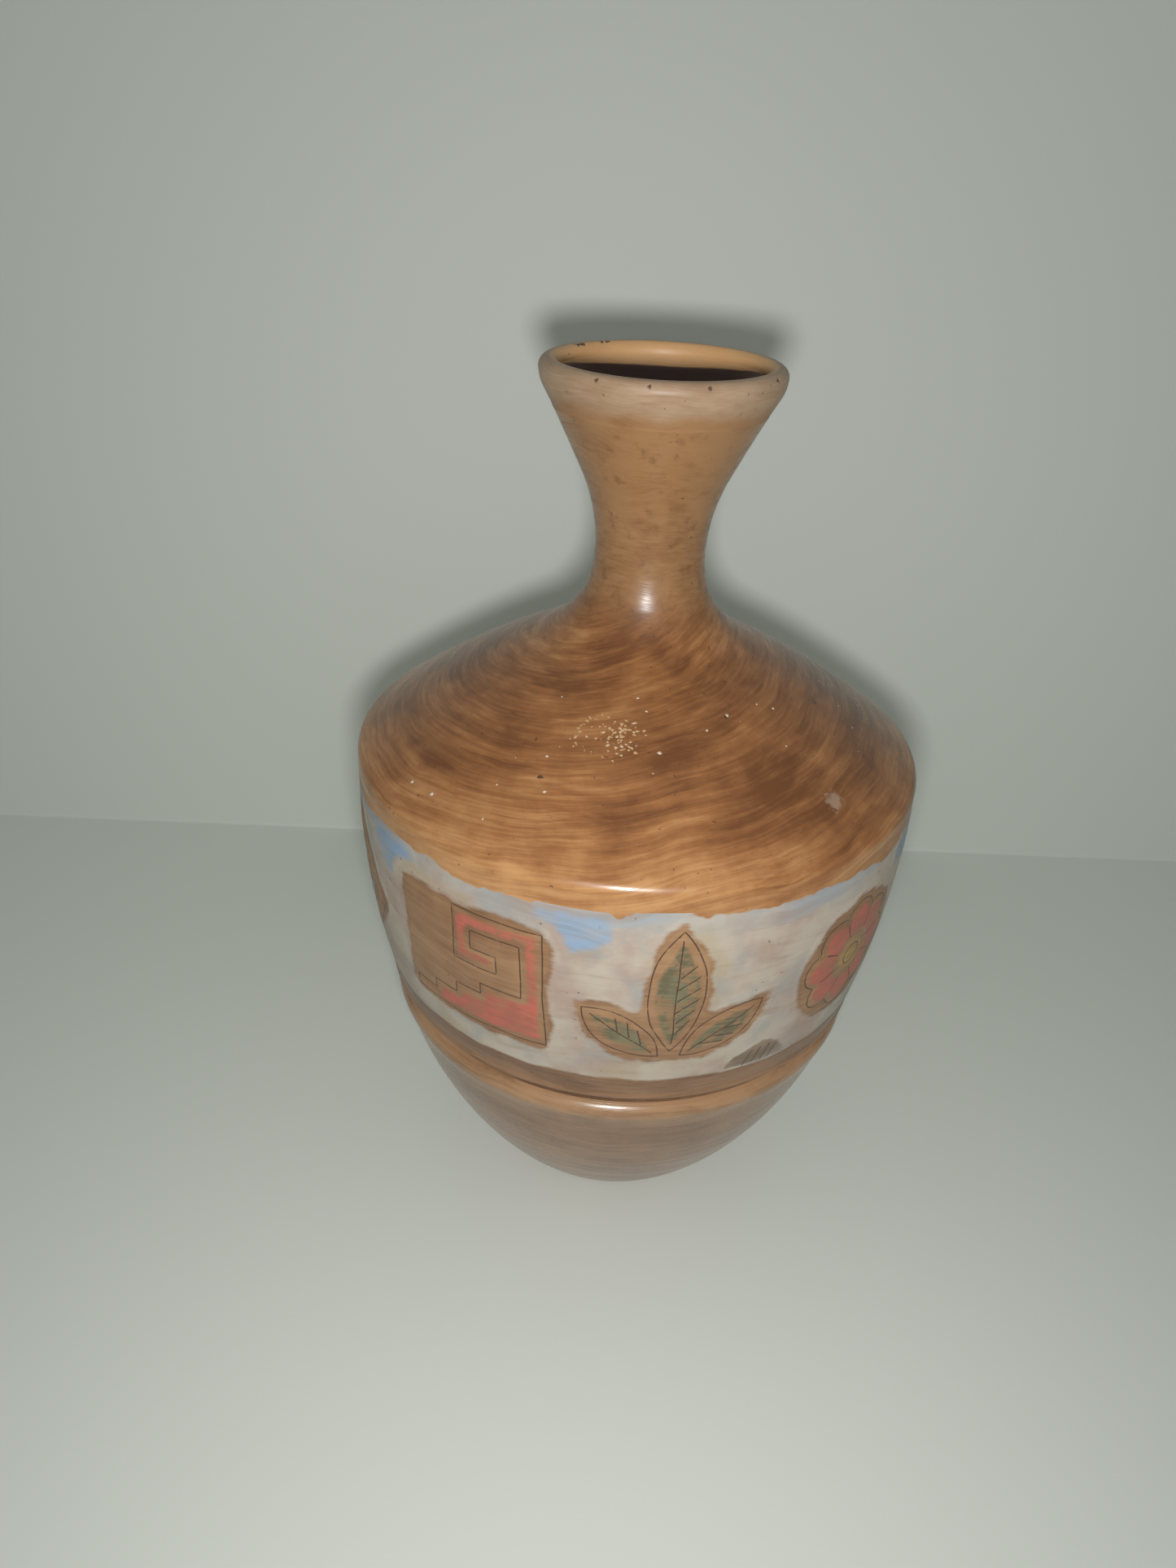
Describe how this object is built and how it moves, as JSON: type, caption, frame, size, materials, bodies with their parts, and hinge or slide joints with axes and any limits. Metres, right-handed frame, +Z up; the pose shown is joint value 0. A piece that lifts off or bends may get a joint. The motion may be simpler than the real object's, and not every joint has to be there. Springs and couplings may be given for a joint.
{
  "type": "clay vase",
  "caption": "Burnished clay vase: rounded bowl, painted and incised belt with an overhanging lip, domed shoulder and a narrow neck that flares to a trumpet mouth.",
  "frame": {"origin": "centre of the foot, on the surface the vase stands on", "axes": "+Z up along the vase's axis; the front of the painted belt faces -Y"},
  "size_m": [0.1648, 0.165, 0.26],
  "materials": {
    "fired_clay": "bare fired earthenware, matte and slightly grainy",
    "luting_slip": "clay slip fired between the sections, matte",
    "brown_stain": "iron-brown slip brushed in streaks over tan clay and burnished to a semi-gloss",
    "pale_lip_slip": "thin greyish-cream slip, burnished, chipped in places",
    "orange_slip": "orange-tan slip, satin",
    "white_slip": "white slip ground, lightly burnished, tinted pinkish and grey in places",
    "sky_blue_slip": "thin blue slip over the white ground, satin",
    "umber_slip": "brown slip with incised hatching, satin",
    "halo_brown_slip": "brushed tan-brown slip with uneven edges, satin",
    "olive_slip": "olive green slip with incised veins, satin",
    "coral_slip": "coral red slip with incised outlines, satin",
    "ochre_slip": "ochre yellow slip with incised outlines, satin",
    "grey_slip": "grey slip with incised outlines, satin",
    "pink_slip": "pink slip, satin"
  },
  "bodies": {
    "root": {"back_flower_eye": "ochre_slip", "back_flower_halo": "halo_brown_slip", "back_flower_petals": "coral_slip", "back_fret_coral": "coral_slip", "back_fret_halo": "halo_brown_slip", "back_sprig_centre_leaf": "olive_slip", "back_sprig_halo": "halo_brown_slip", "back_sprig_left_leaf": "olive_slip", "back_sprig_right_leaf": "olive_slip", "belt_hem_stain": "brown_stain", "belt_wall": "fired_clay", "bowl_stain": "brown_stain", "foot_bowl": "fired_clay", "front_flower_eye": "ochre_slip", "front_flower_halo": "halo_brown_slip", "front_flower_petals": "coral_slip", "front_fret_coral": "coral_slip", "front_fret_halo": "halo_brown_slip", "front_sprig_centre_leaf": "olive_slip", "front_sprig_halo": "halo_brown_slip", "front_sprig_left_leaf": "olive_slip", "front_sprig_right_leaf": "olive_slip", "hill_1": "umber_slip", "hill_2": "umber_slip", "hill_3": "umber_slip", "hill_4": "umber_slip", "lip_slip": "pale_lip_slip", "lower_seam_slip": "luting_slip", "lozenge_grey": "grey_slip", "lozenge_halo": "halo_brown_slip", "lozenge_ochre": "ochre_slip", "lozenge_pink": "pink_slip", "mouth_stain": "orange_slip", "neck": "fired_clay", "neck_seam_slip": "luting_slip", "neck_stain": "brown_stain", "shoulder": "fired_clay", "shoulder_stain": "brown_stain", "sky_patch_1": "sky_blue_slip", "sky_patch_2": "sky_blue_slip", "sky_patch_3": "sky_blue_slip", "sky_patch_4": "sky_blue_slip", "sky_patch_5": "sky_blue_slip", "sun_halo": "halo_brown_slip", "sun_ochre": "ochre_slip", "sun_pink": "pink_slip", "upper_seam_slip": "luting_slip", "wave_grey": "grey_slip", "wave_halo": "halo_brown_slip", "white_ground": "white_slip"}
  },
  "joints": []
}
